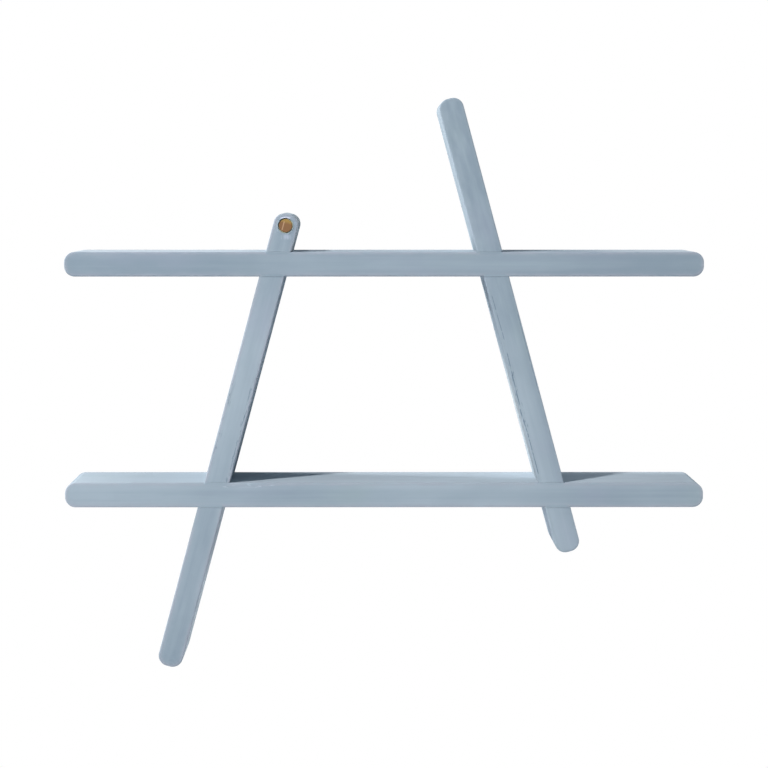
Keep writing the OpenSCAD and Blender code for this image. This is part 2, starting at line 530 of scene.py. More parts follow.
class HalvedBoard(ShapeTree):
    """An eased board with two halving joints, turned about Y and set in its place.

    A stub is a short piece of the board that crosses, long enough to pass through at a slant. The
    easing zone is where a board's own edges are eased, in edge radii.
    """

    CROSSINGS = ("First", "Second")
    OVERRUN = 1 * MM
    CLIP = 0.02 * MM
    EASING_ZONE = 1.3
    STUB_LENGTH = 160 * MM
    STUB_STEPS = 24

    def __init__(self, bar: EasedBar, stock: Stock) -> None:
        """Builds the tree.

        Args:
            bar: The tree that makes an eased bar.
            stock: Sizes that all the boards share.
        """
        numbers = ["Length", "Turn", "Rim", "Seed"]
        numbers += [f"{name} {size}" for name in self.CROSSINGS for size in ("Along", "Turn")]
        super().__init__("Halved board", numbers, Steps="Int", Place="Vector", Finish="Material")
        self._bar = bar
        self._stock = stock
        lands = [self._land(name) for name in self.CROSSINGS]
        slots = [self._slot(name) for name in self.CROSSINGS]
        whole = self._eased(self.given("Length"), self.given("Steps"))
        halved = self.cut(self.solid("UNION", whole, *lands), *slots)
        self.dress(self.shade(self.moved(halved, self.given("Place"), self.given("Turn"))))

    def _eased(self, length: Value, steps: Value) -> Wire:
        """Makes an eased bar of the stock along X.

        Args:
            length: Its length.
            steps: Divisions along it.

        Returns:
            The bar.
        """
        stock = self._stock
        inputs = self._bar.plain(length, stock.thickness, stock.depth)
        inputs |= {"End Radius": stock.end_radius, "Edge Radius": stock.edge_radius, "Steps": steps}
        inputs |= {"Crown": stock.crown, "Unevenness": stock.unevenness, "Seed": self.given("Seed")}
        return self.add("GeometryNodeGroup", inputs, node_tree=self._bar.tree)

    def _at_crossing(self, name: str, solid: Wire, y: Value = 0.0) -> Wire:
        """A solid of the board that crosses here, turned and moved to the named crossing."""
        place = self.join(self.given(f"{name} Along"), y, 0)
        return self.moved(solid, place, self.given(f"{name} Turn"))

    def _land(self, name: str) -> Wire:
        """Makes what the crossing board fills in, where this board's easing stops.

        Args:
            name: Which crossing.

        Returns:
            The solids along both edges.
        """
        stock = self._stock
        zone = self.EASING_ZONE * stock.edge_radius
        y = self.given("Rim") * (stock.depth / 2 + self.OVERRUN / 2 - zone / 2) - stock.depth / 2
        level = stock.thickness / 2 - self.CLIP - zone / 2
        box = self.cube(self.given("Length"), zone + self.OVERRUN, zone)
        zones = [self.moved(box, self.join(0, y, z)) for z in (level, -level)]
        stub = self._at_crossing(name, self._eased(self.STUB_LENGTH, self.STUB_STEPS))
        return self.solid("INTERSECT", stub, self.solid("UNION", *zones))

    def _slot(self, name: str) -> Wire:
        """Makes the slot for the crossing board, open at the rim that doesn't stay whole.

        Args:
            name: Which crossing.

        Returns:
            The solid to cut away.
        """
        stock = self._stock
        reach = stock.depth + 2 * self.OVERRUN
        box = self.cube(self.STUB_LENGTH, reach, stock.thickness + 2 * stock.joint_clearance)
        return self._at_crossing(name, box, 0 - stock.lap_depth - self.given("Rim") * (reach / 2))


def linked(name: str, data: bpy.types.ID) -> bpy.types.Object:
    """Puts a new object into the scene, at the origin.

    Args:
        name: Its name.
        data: Its mesh, lamp or camera.

    Returns:
        The object.
    """
    thing = bpy.data.objects.new(name, data)
    bpy.context.scene.collection.objects.link(thing)
    return thing


def meshed(name: str, shape: bmesh.types.BMesh) -> bpy.types.Mesh:
    """Makes a mesh from a shape and frees the shape.

    Args:
        name: The mesh's name.
        shape: The shape.

    Returns:
        The mesh.
    """
    mesh = bpy.data.meshes.new(name)
    shape.to_mesh(mesh)
    shape.free()
    return mesh


def settle(piece: bpy.types.Object, modifier: bpy.types.Modifier, finish: Value | None) -> None:
    """Turns a piece with its modifier into a plain mesh without it.

    Args:
        piece: The piece.
        modifier: Its only modifier.
        finish: The one material of the result, if it has one yet.
    """
    graph = bpy.context.evaluated_depsgraph_get()
    done = piece.evaluated_get(graph)
    mesh = bpy.data.meshes.new_from_object(done, preserve_all_data_layers=True, depsgraph=graph)
    mesh.materials.clear()
    if finish:
        mesh.materials.append(finish)
    mesh.polygons.foreach_set("material_index", [0] * len(mesh.polygons))
    piece.modifiers.remove(modifier)
    piece.data = mesh


def grown(name: str, tree: ShapeTree, sizes: Mapping[str, Value]) -> bpy.types.Object:
    """Runs a shape tree and keeps its result as a plain mesh.

    Args:
        name: The piece's name.
        tree: The tree.
        sizes: Values for its named inputs.

    Returns:
        The piece, with no modifier left on it.
    """
    piece = linked(name, bpy.data.meshes.new(name))
    modifier = piece.modifiers.new("Shape", "NODES")
    modifier.node_group = tree.tree
    for item in tree.tree.interface.items_tree:
        if item.in_out == "INPUT":
            modifier[item.identifier] = sizes[item.name]
    settle(piece, modifier, sizes.get("Finish"))
    return piece


def carved(piece: bpy.types.Object, cutter: bpy.types.Object, operation: str) -> None:
    """Joins a cutter with a piece or takes it away, and removes the cutter.

    Args:
        piece: The piece that changes.
        cutter: The other solid.
        operation: UNION or DIFFERENCE.
    """
    modifier = piece.modifiers.new("Carve", "BOOLEAN")
    modifier.operation = operation
    modifier.solver = SOLVER
    modifier.object = cutter
    settle(piece, modifier, piece.data.materials[0] if piece.data.materials else None)
    bpy.data.objects.remove(cutter)


def turned(name: str, profile: Sequence[Pair], steps: int) -> bpy.types.Mesh:
    """Turns a profile about Z, as on a lathe.

    Args:
        name: The mesh's name.
        profile: Radius and height from the foot's middle to the top's middle, both at radius 0.
        steps: Divisions all round.

    Returns:
        A closed mesh with smooth faces.
    """
    shape = bmesh.new()
    foot, top = [shape.verts.new((0, 0, height)) for _, height in (profile[0], profile[-1])]
    angles = [2 * math.pi * step / steps for step in range(steps)]
    rings = []
    for radius, height in profile[1:-1]:
        rings.append([shape.verts.new((radius * math.cos(a), radius * math.sin(a), height)) for a in angles])
    for step in range(steps):
        after = (step + 1) % steps
        shape.faces.new((foot, rings[0][after], rings[0][step]))
        shape.faces.new((top, rings[-1][step], rings[-1][after]))
        for low, high in zip(rings, rings[1:]):
            shape.faces.new((low[step], low[after], high[after], high[step]))
    bmesh.ops.recalc_face_normals(shape, faces=shape.faces)
    mesh = meshed(name, shape)
    mesh.shade_smooth()
    return mesh


def arc(centre: Pair, radius: float, start: float, end: float, steps: int) -> list[Pair]:
    """Points on an arc about a centre, from its start to its end in degrees, both included."""
    angles = [math.radians(start + (end - start) * step / steps) for step in range(steps + 1)]
    return [(centre[0] + radius * math.cos(a), centre[1] + radius * math.sin(a)) for a in angles]


def dressed(piece: bpy.types.Object, node: str) -> None:
    """Ties a finished piece to the frame and reports it.

    Args:
        piece: The piece.
        node: The CAD node that it stands for.
    """
    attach(piece, BODY)
    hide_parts(node)
    own = list(zip(*piece.bound_box))
    ends = zip((min, max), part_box(node))
    gaps = [abs(end(own[axis]) - corner[axis]) for end, corner in ends for axis in range(3)]
    faces = len(piece.data.polygons)
    log.info("%s: %d faces, box within %.2f mm of the frame", piece.name, faces, max(gaps) / MM)


class Coat(SurfaceGraph):
    """The tree of one board's paint, whose colour is built up in layers.

    X runs along the board from its middle, to the right or up, and Z across it. The way goes from 0
    at its left or lower crossing to 1 at the other one.
    """

    # In Y, where marks of the front face begin and are full, and the same for brush marks.
    FRONT = (-118.5 * MM, -119.5 * MM)
    BRUSHED = (-112 * MM, -119 * MM)

    def __init__(self, board: "Board", first: Colour) -> None:
        """Starts the paint.

        Args:
            board: The board.
            first: The colour that the layers go on.
        """
        super().__init__(f"paint_{board.node}")
        self.seed = board.seed
        self.colour: Value = first
        self.local = self.placed(board.middle, board.turn)
        self.x, self.y, self.z = self.parts(self.local)
        self.front = self.step(self.y, *self.FRONT)
        low, high = sorted(place for place, _ in board.crossings)
        self.span = high - low
        self.way = (self.x - low) / self.span

    def lay(self, share: Value, colour: Colour) -> None:
        """Lays a colour over the paint so far, by share."""
        self.colour = self.blend(share, self.colour, colour)

    def pattern(self, scale: Point | float, detail: float, roughness: float, offset: float) -> Wire:
        """Noise on the board, with its own pattern for each offset."""
        return self.noise(self.local, scale, detail, roughness, self.seed + offset)


@dataclass(frozen=True)
class Scuffs:
    """Short marks and long hair scratches beside one long edge of a board's front.

    They cover a stretch of the way between the crossings.
    """

    start: float
    end: float
    edge: int
    strength: float
    pale: bool = False

    def share(self, coat: Coat, offset: float) -> Wire:
        """Draws the marks.

        Args:
            coat: The paint so far.
            offset: Which pattern they have.

        Returns:
            The share of marked paint.
        """
        fade = 12 * MM / coat.span
        stretch = coat.band(coat.way, (self.start - fade, self.start), (self.end + fade, self.end))
        beside = coat.band(coat.z * self.edge, (5.6 * MM, 7.2 * MM), (9.9 * MM, 9.2 * MM))
        nicks = coat.pattern((150.0, 300.0, 900.0), 2.0, 0.6, offset)
        hairs = coat.pattern((34.0, 300.0, 1000.0), 2.0, 0.5, offset + 5)
        marks = coat.limit(coat.step(nicks, 0.56, 0.64) * 0.9 + coat.step(hairs, 0.56, 0.64) * 0.5)
        return marks * stretch * beside * coat.front * self.strength


@dataclass(frozen=True)
class Scratch:
    """A thin wavering scratch on a board's front.

    Each end is a place on the way between the crossings and millimetres across the board, and the
    width and the waver are in millimetres too.
    """

    start: Pair
    end: Pair
    width: float = 0.4
    strength: float = 0.8
    waver: float = 0.35

    def share(self, coat: Coat, offset: float) -> Wire:
        """Draws the scratch.

        Args:
            coat: The paint so far.
            offset: Which pattern of gaps it has.

        Returns:
            The share of scratched paint.
        """
        along = coat.limit((coat.way - self.start[0]) / (self.end[0] - self.start[0]))
        drift = coat.pattern((70.0, 0.0, 0.0), 2.0, 0.6, offset)
        level = self.start[1] + (self.end[1] - self.start[1]) * along + (drift - 0.5) * (2 * self.waver)
        thin = coat.near(coat.z / MM - level, self.width, 0.4 * self.width)
        gaps = coat.step(coat.pattern((190.0, 0.0, 0.0), 2.0, 0.7, offset + 3), 0.36, 0.52)
        return thin * coat.band(along, (0.0, 0.04), (1.0, 0.96)) * gaps * coat.front * self.strength


@dataclass(frozen=True)
class LitSide:
    """A paler stretch on one wide side of a board: painted light on that side.

    The stretch fades in from the first to the second value of low, on the way between the crossings,
    and fades out from the first to the second value of high. It starts on faces that look to that
    side by the first value of facing, and is full from the second.
    """

    side: Side
    low: Pair
    high: Pair
    strength: float
    facing: Pair = (0.85, 0.95)


@dataclass(frozen=True)
class SatinPaint:
    """Blue-grey satin paint, brushed along each board, with a faint grain under it.

    Two lists of levels at even distances from a board's left end or foot give how pale its faces are,
    which paints light and shade along the board, and how much painted light falls on the faces that
    look up, with painted shadows where those levels dip. brushed is the strength of the brush marks at
    both ends, and a slant paints one long side of the board paler than the other, as painted light
    from that side.
    """

    # Painted light and shade along the board, on top of its own paleness.
    tone_and_shade: tuple[float, ...]
    pale: Colour = srgb(177, 190, 199)
    deep: Colour = srgb(137, 152, 164)
    greenish: Colour = srgb(150, 167, 168)
    lilac: Colour = srgb(156, 163, 180)
    # Edge colour: wear, with painted shade on the eased edges.
    worn_and_shaded_edge: Colour = srgb(162, 166, 177)
    chipped: Colour = srgb(92, 110, 128)
    # Pale scuff marks on the front.
    rubbed_and_lit: Colour = srgb(196, 208, 217)
    # The colour of the painted light on faces that look up.
    top_lit: Colour = srgb(208, 218, 226)
    # The colour of the painted light on stretches of the wide sides.
    side_light: Colour = srgb(208, 212, 213)
    seam: Colour = srgb(116, 132, 146)
    # Painted shade inside the stud's sinking, tinted greenish.
    sinking_shade: Colour = srgb(176, 182, 160)
    # Painted highlight on the lip above the stud, also used for faint marks below it.
    gleam: Colour = srgb(212, 214, 234)
    roughness: float = 0.78
    specular: float = 0.055
    brushed: Pair = (0.2, 0.2)
    # Painted light: how much paler one long side of the board is than the other.
    shade_across: float = 0.0
    # Painted light on faces that look up, along the board; where the levels dip they paint shadows.
    top_light: tuple[float, ...] = (0.6, 0.6)
    scuffs: tuple[Scuffs, ...] = ()
    scratches: tuple[Scratch, ...] = ()
    # Painted light on stretches of the wide sides.
    lit_sides: tuple[LitSide, ...] = ()

    def material(self, board: "Board") -> bpy.types.Material:
        """Makes the paint for one board.

        Args:
            board: The board.

        Returns:
            The material.
        """
        coat = Coat(board, self.deep)
        bands = coat.pattern((2.2, 12.0, 110.0), 2.0, 0.45, 0)
        mottle = coat.pattern((11.0, 9.0, 16.0), 2.0, 0.5, 3)
        streaks = coat.pattern((10.0, 260.0, 430.0), 3.0, 0.6, 7)
        grain = coat.pattern((9.0, 150.0, 240.0), 4.0, 0.7, 11)
        peel = coat.pattern(900.0, 1.0, 0.5, 17)
        tints = coat.pattern((14.0, 14.0, 34.0), 2.0, 0.5, 47)
        marks = coat.pattern((38.0, 12.0, 120.0), 2.0, 0.5, 53)
        along = coat.limit(coat.x / board.length + 0.5)
        first, last = self.brushed
        brushed = (first + (last - first) * along) * coat.step(coat.y, *coat.BRUSHED)
        # The curve paints light and shade along the board; the noise added to it is the paint's own uneven
        # tone.
        tone_and_shade = coat.add("ShaderNodeFloatCurve", {"Value": along}, levels=self.tone_and_shade)
        tone_and_shade = tone_and_shade + (bands - 0.5) * 0.7 + (mottle - 0.5) * 0.6 + (streaks - 0.5) * 0.25
        # Its last term paints one long side paler than the other: painted light from that side.
        tone_and_shade = tone_and_shade + (marks - 0.5) * brushed + coat.z * (2 * self.shade_across / Stock.thickness)
        coat.lay(coat.limit(tone_and_shade), self.pale)
        coat.lay(coat.step(tints, 0.55, 0.75) * 0.3, self.greenish)
        coat.lay(coat.step(tints, 0.45, 0.25) * 0.3, self.lilac)
        self._age(coat, along)
        self._mark(coat, board.seams)
        if board.sunk:
            self._sink(coat, *board.sunk)
        roughness = self.roughness + (streaks - 0.5) * 0.16 + (mottle - 0.5) * 0.12
        relief = (0.5, 0.12 * MM, streaks * 0.5 + grain * 0.35 + peel * 0.15)
        return coat.finish(coat.colour, roughness, relief, Specular_IOR_Level=self.specular)

    def _age(self, coat: Coat, along: Wire) -> None:
        """Paints light on stretches of the wide sides and on the faces that look up, with painted shadows
        where the levels for those faces dip.

        Args:
            coat: The paint so far.
            along: Share of the board's length, from its left end or foot.
        """
        right, _, up = coat.parts(coat.add("ShaderNodeNewGeometry", output="Normal"))
        patches = (coat.pattern((16.0, 40.0, 16.0), 3.0, 0.6, 41) - 0.5) * 0.3
        # Painted light on stretches of the wide sides, on the faces that look to that side.
        for rubbed_and_lit in self.lit_sides:
            facing = coat.step(right * rubbed_and_lit.side.value, *rubbed_and_lit.facing)
            share = facing * coat.band(coat.way, rubbed_and_lit.low, rubbed_and_lit.high)
            coat.lay(coat.limit(share * (rubbed_and_lit.strength + patches)), self.side_light)
        # Painted light on faces that look up, with painted shadows where the levels dip.
        top_light = coat.add("ShaderNodeFloatCurve", {"Value": along}, levels=self.top_light) + patches
        coat.lay(coat.limit(coat.step(up, 0.9, 0.995) * top_light), self.top_lit)

    def _mark(self, coat: Coat, seams: Sequence[float]) -> None:
        """Darkens the eased edges, partly as wear and partly as painted shade, scratches the front and draws
        the lines where paint bridges a joint.

        Args:
            coat: The paint so far.
            seams: Heights of the lines.
        """
        arris = coat.add("ShaderNodeAttribute", output="Fac", attribute_name="arris")
        # Edge darkening, partly wear and partly painted shade on the eased edges.
        wear_and_shade = coat.pattern((60.0, 260.0, 260.0), 3.0, 0.65, 23)
        coat.lay(arris * coat.step(wear_and_shade, 0.25, 0.6) * 0.6, self.worn_and_shaded_edge)
        for number, scuffs in enumerate(self.scuffs):
            coat.lay(scuffs.share(coat, 31 + number), self.rubbed_and_lit if scuffs.pale else self.chipped)
        for number, scratch in enumerate(self.scratches):
            coat.lay(scratch.share(coat, 61 + number), self.chipped)
        for level in seams:
            uneven = coat.step(coat.noise(coat.place, 110.0, 2.0, 0.5, 3.0), 0.2, 0.7)
            line = coat.near(coat.parts(coat.place)[2] - level, 1.5 * MM, 0.2 * MM)
            coat.lay(line * uneven * coat.front * 0.35, self.seam)

    def _sink(self, coat: Coat, centre: Point, radius: float) -> None:
        """Paints shade inside the round sinking that the stud sits in, tinted greenish, a highlight on the
        lip above it and faint highlights in marks below it.

        Args:
            coat: The paint so far.
            centre: The sinking's centre.
            radius: Its radius.
        """
        inputs = {0: coat.place, 1: centre}
        apart = coat.add("ShaderNodeVectorMath", inputs, "Value", operation="DISTANCE")
        across, _, level = coat.parts(coat.place)
        above = level - centre[2]
        lip = coat.step(apart, radius + 1.5 * MM, radius + 0.7 * MM)
        # A painted highlight on the upper part of the lip around the sinking.
        coat.lay(lip * coat.step(above, 5.2 * MM, 6.2 * MM) * 0.8, self.gleam)
        beside = coat.near(across - centre[0], 5 * MM, 3 * MM)
        below = coat.band(above, (-7 * MM, -8 * MM), (-12 * MM, -10 * MM))
        # Faint painted highlights in marks below the stud.
        lower_highlights = coat.step(coat.noise(coat.place, (700.0, 60.0, 60.0), 1.0, 0.5, 8.0), 0.4, 0.65)
        coat.lay(lower_highlights * beside * below * 0.3, self.gleam)
        # Painted shade: a greenish tint inside the sinking.
        inside = coat.step(apart, radius + 0.2 * MM, radius - 0.1 * MM)
        coat.lay(inside * 0.9, self.sinking_shade)


@dataclass(frozen=True)
class AgedBrass:
    """Turned brass, its colour painting a reflection: a bright gold band on top, brown below and a glint."""

    # The gold band on top and the brown below paint a reflection; the glint is a painted highlight.
    gold: Colour = srgb(172, 142, 86)
    brown: Colour = srgb(147, 112, 82)
    glint: Colour = srgb(226, 192, 158)
    roughness: float = 0.42
    turning: float = 0.22 * MM

    def material(self, name: str, centre: Point, lean: float) -> bpy.types.Material:
        """Makes the brass.

        Args:
            name: The material's name.
            centre: The stud's centre.
            lean: Turn about Y from the frame's upright to the board's.

        Returns:
            The material.
        """
        graph = SurfaceGraph(name)
        local = graph.placed(centre, lean)
        x, _, z = graph.parts(local)
        clouds = graph.noise(local, 420.0, 3.0, 0.6, 5.0)
        fine = graph.noise(local, 2600.0, 1.0, 0.5, 9.0)
        radius = graph.math("SQRT", x * x + z * z)
        rings = graph.math("SINE", radius * (2 * math.pi / self.turning) + clouds * 5)
        # Painted reflection: the band on top gold and the rest brown, with a cloudy edge.
        rubbed_and_lit = graph.step(z + (clouds - 0.5) * (1.6 * MM), 1.2 * MM, 3.8 * MM)
        # A painted highlight: a slanting glint streak left of the centre.
        stroke = graph.near(x + 1.8 * MM, 0.6 * MM, 0.15 * MM)
        stroke = stroke * graph.near(z + 0.6 * MM, 4.2 * MM, 3.0 * MM)
        colour = graph.blend(stroke * 0.6, graph.blend(rubbed_and_lit, self.brown, self.gold), self.glint)
        relief = (0.25, 0.03 * MM, rings * 0.25 + fine * 0.5 + clouds * 0.25)
        return graph.finish(colour, self.roughness + (clouds - 0.5) * 0.3, relief, Metallic=1.0)


@dataclass(frozen=True)
class ZincPlate:
    """Bright zinc plate over stamped steel."""

    bright: Colour = srgb(204, 207, 210)
    dull: Colour = srgb(152, 156, 161)
    roughness: float = 0.32

    def material(self, name: str) -> bpy.types.Material:
        """Makes the plated steel.

        Args:
            name: The material's name.

        Returns:
            The material.
        """
        graph = SurfaceGraph(name)
        spangle = graph.noise(graph.place, 260.0, 3.0, 0.6, 2.0)
        rolled = graph.noise(graph.place, (90.0, 2400.0, 2400.0), 2.0, 0.6, 4.0)
        colour = graph.blend(graph.limit(spangle * 0.7 + rolled * 0.3), self.dull, self.bright)
        roughness = self.roughness + (spangle - 0.5) * 0.35
        return graph.finish(colour, roughness, (0.3, 0.02 * MM, rolled), Metallic=1.0)


@dataclass(frozen=True)
class PalePaper:
    """Pale backdrop paper, which fades into the white surroundings away from the object."""

    paper: Colour = srgb(238, 238, 240)
    fibre: Colour = srgb(226, 226, 228)
    white: Colour = srgb(255, 255, 255)
    fade: Pair = (1.0, 2.2)

    def material(self, name: str) -> bpy.types.Material:
        """Makes the paper.

        Args:
            name: The material's name.

        Returns:
            The material.
        """
        graph = SurfaceGraph(name)
        x, y, _ = graph.parts(graph.place)
        fibres = graph.noise(graph.place, 40.0, 4.0, 0.6, 1.0)
        inputs = {"Color": graph.blend(fibres * 0.12, self.paper, self.fibre), "Roughness": 0.6}
        paper = graph.add("ShaderNodeBsdfDiffuse", inputs)
        white = graph.add("ShaderNodeEmission", {"Color": self.white, "Strength": 1.0})
        share = graph.step(graph.math("SQRT", x * x + y * y), *self.fade) * graph.background()
        return graph.close(graph.add("ShaderNodeMixShader", {0: share, 1: paper, 2: white}))


@dataclass(frozen=True)
class Board:
    """One halved board: where it lies, and where and at which turn the two others cross it.

    seams are heights where its paint bridges a joint, and sunk is the centre and the radius of a
    round sinking in its front.
    """

    node: str
    length: float
    middle: Point
    turn: float
    rim: Rim
    crossings: tuple[Pair, Pair]
    seed: float
    paint: SatinPaint
    seams: tuple[float, ...] = ()
    sunk: tuple[Point, float] | None = None

    def build(self, tree: HalvedBoard, step: float) -> bpy.types.Object:
        """Makes the board in its paint.

        Args:
            tree: The tree for a halved board.
            step: About the length of one division along it.

        Returns:
            The board.
        """
        sizes = {"Length": self.length, "Steps": round(self.length / step), "Seed": self.seed}
        sizes |= {"Rim": float(self.rim.value), "Turn": self.turn, "Place": self.middle}
        for name, (place, turn) in zip(tree.CROSSINGS, self.crossings):
            sizes |= {f"{name} Along": place, f"{name} Turn": turn}
        sizes |= {"Finish": self.paint.material(self)}
        return grown(f"painted_{self.node}", tree, sizes)


@dataclass
class Joinery:
    """The four boards, halved into each other."""

    stock: Stock = field(default_factory=Stock)
    shelf_length: float = 520 * MM
    shelf_spacing: float = 188 * MM
    lean: float = math.radians(15)
    crossing_spread: float = 177 * MM
    left_reaches: Pair = (42 * MM, 145 * MM)
    right_reaches: Pair = (139 * MM, 48 * MM)
    # Besides their own colours, these paints paint light and shade along each board, across it, on faces that
    # look up and on stretches of its wide sides.
    upper_paint: SatinPaint = SatinPaint(
        tone_and_shade=(0.05, 0.0, 0.14, 0.17, 0.18, 0.0, 0.04),
        top_light=(0.7, 0.69, 0.65, 0.34, 0.44, 0.4, 0.08, 0.52, 0.75),
    )
    lower_paint: SatinPaint = SatinPaint(
        tone_and_shade=(0.45, 0.41, 0.21, 0.42, 0.48, 0.285, 0.37),
        top_light=(0.33, 0.4, 0.59, 0.61, 0.6, 0.47),
        scuffs=(Scuffs(0.0391, 0.1544, 1, 0.6, True),),
    )
    left_paint: SatinPaint = SatinPaint(
        tone_and_shade=(0.07, 0.235, 0.25, 0.43, 0.53, 0.26, 0.19),
        brushed=(0.4, 0.4),
        shade_across=0.12,
        scuffs=(Scuffs(0.08, 0.5, -1, 0.7), Scuffs(0.18, 0.45, 1, 0.6)),
        scratches=(
            Scratch((0.4, -7.4), (0.46, -7.1), 0.32, 0.6),
            Scratch((0.3, -7.0), (0.38, -8.3), 0.4, 0.6),
            Scratch((0.12, -7.9), (0.25, -7.2), 0.4, 0.6),
        ),
        lit_sides=(
            LitSide(Side.RIGHT, (1.0411, 1.0565), (2.0, 1.9), 0.8, (0.4, 0.85)),
            LitSide(Side.RIGHT, (-1.0, -0.9), (-0.0411, -0.0565), 0.3),
        ),
    )
    right_paint: SatinPaint = SatinPaint(
        worn_and_shaded_edge=srgb(148, 161, 171),
        tone_and_shade=(0.39, 0.39, 0.29, 0.15, 0.15, 0.09, 0.21),
        brushed=(-0.2, 1.3),
        shade_across=0.15,
        scuffs=(Scuffs(0.3, 0.55, 1, 0.6),),
        scratches=(
            Scratch((0.68, 7.0), (0.88, 7.5), 0.32),
            Scratch((0.4, 8.6), (0.63, 7.5)),
            Scratch((0.27, 8.1), (0.39, 9.2)),
            Scratch((0.1, 8.2), (0.28, 8.2)),
            Scratch((0.525, 7.9), (0.545, 6.7)),
            Scratch((0.42, -9.0), (0.78, -8.8), 0.32, 0.6),
        ),
        lit_sides=(
            LitSide(Side.LEFT, (-0.0103, 0.0), (0.7, 0.4), 0.35),
            LitSide(Side.LEFT, (1.0411, 1.0565), (2.0, 1.9), 0.12),
        ),
    )

    def turn(self, side: Side) -> float:
        """The turn about Y that lays X along an upright."""
        return -QUARTER_TURN - side.value * self.lean

    def on_axis(self, side: Side, above: float) -> Vector:
        """A point on an upright's axis, by its distance above the upper shelf's centre line."""
        axis = Vector((-side.value * math.sin(self.lean), 0, math.cos(self.lean)))
        return Vector((side.value * self.crossing_spread / 2, 0, 0)) + axis * above

    def build(self, bar: EasedBar, stud: "BrassStud") -> dict[str, bpy.types.Object]:
        """Makes the four boards.

        Args:
            bar: The tree that makes an eased bar.
            stud: The stud, whose sinking the left upright has.

        Returns:
            The pieces by the CAD node that each stands for.
        """
        tree = HalvedBoard(bar, self.stock)
        boards = [self._shelf("upper_shelf", 0.0, 1.0, self.upper_paint)]
        boards.append(self._shelf("lower_shelf", -self.shelf_spacing, 2.0, self.lower_paint))
        sunk = (tuple(stud.centre), stud.sink_radius)
        boards.append(self._upright(Side.LEFT, self.left_reaches, self.left_paint, sunk))
        boards.append(self._upright(Side.RIGHT, self.right_reaches, self.right_paint))
        return {board.node: board.build(tree, self.stock.step) for board in boards}

    def _shelf(self, node: str, level: float, seed: float, paint: SatinPaint) -> Board:
        """Works out one shelf.

        Args:
            node: The CAD node that it stands for.
            level: Height of its centre line.
            seed: Which unevenness and paint pattern it has.
            paint: Its paint.

        Returns:
            The shelf.
        """
        across = self.crossing_spread / 2 - level * math.tan(self.lean)
        crossings = ((-across, self.turn(Side.LEFT)), (across, self.turn(Side.RIGHT)))
        return Board(node, self.shelf_length, (0.0, 0.0, level), 0.0, Rim.FRONT, crossings, seed, paint)

    def _upright(
        self, side: Side, reaches: Pair, paint: SatinPaint, sunk: tuple[Point, float] | None = None
    ) -> Board:
        """Works out one upright.

        Args:
            side: Which upright.
            reaches: Its lengths above the upper and below the lower shelf's centre line.
            paint: Its paint.
            sunk: The round sinking in its front, if it has one.

        Returns:
            The upright.
        """
        top, bottom = reaches
        span = self.shelf_spacing / math.cos(self.lean)
        length = bottom + span + top
        high = length / 2 - top
        middle = tuple(self.on_axis(side, -high))
        turn = self.turn(side)
        crossings = ((high, -turn), (high - span, -turn))
        half = self.stock.thickness / 2
        seams = (-half, -self.shelf_spacing - half)
        node = f"{side.name.lower()}_upright"
        seed = 5.0 + side.value
        return Board(node, length, middle, turn, Rim.BACK, crossings, seed, paint, seams, sunk)


